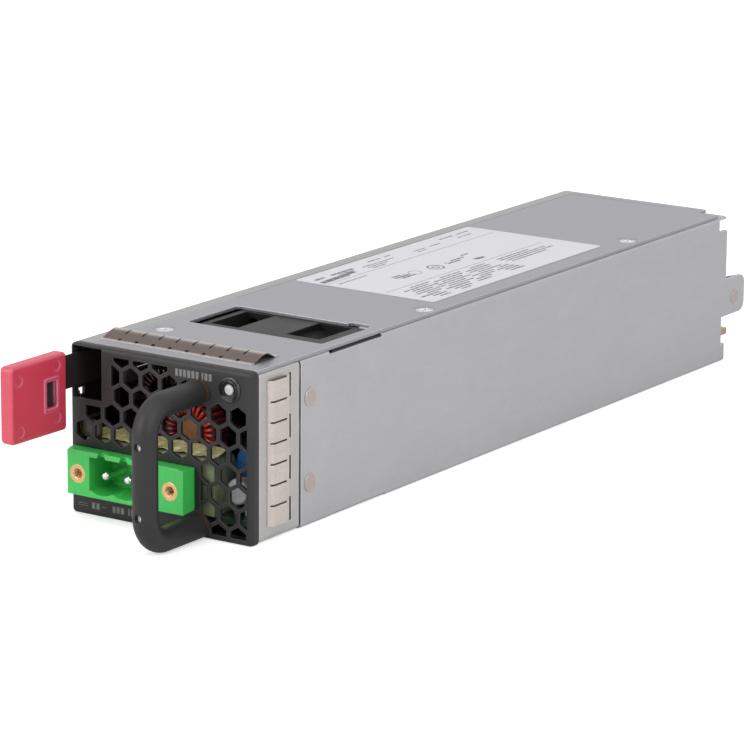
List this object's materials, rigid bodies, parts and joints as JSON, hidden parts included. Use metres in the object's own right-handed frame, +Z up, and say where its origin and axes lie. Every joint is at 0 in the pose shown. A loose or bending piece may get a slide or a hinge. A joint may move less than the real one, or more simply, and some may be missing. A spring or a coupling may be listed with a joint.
{
  "type": "dc power supply unit",
  "caption": "Hot-swap DC power module in a galvanised case with a perforated black front, pull handle, red release latch, green input terminal and internal fan.",
  "frame": {"origin": "middle of the chassis underside, half way between the front face of the panel and the rear edge of the walls", "axes": "+X to the right seen from the front, +Y from the front panel to the rear, +Z up"},
  "size_m": [0.0531, 0.2487, 0.0417],
  "materials": {
    "base_black": "matt",
    "black_paint": "matt",
    "black_plastic": "matt",
    "board_green": "satin",
    "brass": "bright",
    "bright_steel": "satin",
    "capacitor_blue": "gloss",
    "capacitor_sleeve": "satin",
    "ceramic_white": "matt",
    "clear_lens": "clear",
    "copper_bar": "satin",
    "divider_brown": "matt",
    "enamel_copper": "gloss",
    "enamel_red": "gloss",
    "ferrite": "matt",
    "galvanised": "satin",
    "gold_plate": "bright",
    "grip_black": "matt",
    "heatsink_alloy": "satin",
    "label_film": "satin",
    "latch_red": "satin",
    "lead_insulation": "satin",
    "package_black": "matt",
    "plug_white": "satin",
    "rivet_alloy": "satin",
    "sheet_black": "matt",
    "spring_black": "satin",
    "strip_bronze": "satin",
    "strip_pale": "satin",
    "tape_yellow": "satin",
    "terminal_green": "satin",
    "tin_plate": "bright"
  },
  "bodies": {
    "case": {"chassis": "galvanised", "front_frame": "galvanised", "top_cover": "galvanised", "front_grille_panel": "black_paint", "top_finger_strip": "strip_bronze", "side_finger_strip": "strip_pale", "handle_grip": "grip_black", "handle_core": "bright_steel", "handle_screws": "bright_steel", "latch_rivets": "rivet_alloy", "terminal_housing": "terminal_green", "terminal_pins": "tin_plate", "terminal_inserts": "brass", "led_bezel": "black_plastic", "led_lens": "clear_lens", "cover_screws": "bright_steel", "frame_rivets": "rivet_alloy", "rear_rivets": "rivet_alloy", "rear_guides": "black_plastic", "rating_label": "label_film", "fan_frame": "black_plastic", "fan_bearings": "bright_steel", "fan_stator": "enamel_copper", "fan_bracket": "galvanised", "fan_bracket_screw": "bright_steel", "fan_leads": "lead_insulation", "fan_plug": "plug_white", "insulation_sheet": "sheet_black", "main_board": "board_green", "input_board": "board_green", "input_choke_cores": "ferrite", "input_choke_windings": "enamel_red", "input_choke_bases": "base_black", "choke_divider": "divider_brown", "line_insulator": "tape_yellow", "blue_capacitor": "capacitor_blue", "white_suppressor": "ceramic_white", "storage_capacitors": "capacitor_sleeve", "front_heatsink": "heatsink_alloy", "rear_heatsink": "heatsink_alloy", "transistors": "package_black", "control_board": "board_green", "control_chips": "package_black", "transformer_core": "ferrite", "transformer_coil": "tape_yellow", "transformer_bobbin": "base_black", "choke_cores": "ferrite", "choke_windings": "enamel_copper", "choke_bases": "base_black", "output_capacitors": "capacitor_sleeve", "output_bars": "copper_bar", "fuse_tube": "ceramic_white", "fuse_caps": "bright_steel", "edge_contacts": "gold_plate", "board_standoffs": "brass", "board_screws": "bright_steel"},
    "latch": {"latch_leaf": "spring_black", "latch_tab": "latch_red"},
    "rotor": {"fan_rotor": "black_plastic", "fan_shaft": "bright_steel"}
  },
  "joints": [
    {"name": "fan_spin", "type": "hinge", "parent": "case", "child": "rotor", "pos_m": [0.00545, -0.06505, 0.0198], "axis": [0, 1, 0], "continuous": true},
    {"name": "latch_press", "type": "hinge", "parent": "case", "child": "latch", "pos_m": [-0.02415, -0.04725, 0.0338], "axis": [0, 0, 1], "range_deg": [0, 2.5], "stiffness_Nm_per_rad": 0.42}
  ]
}
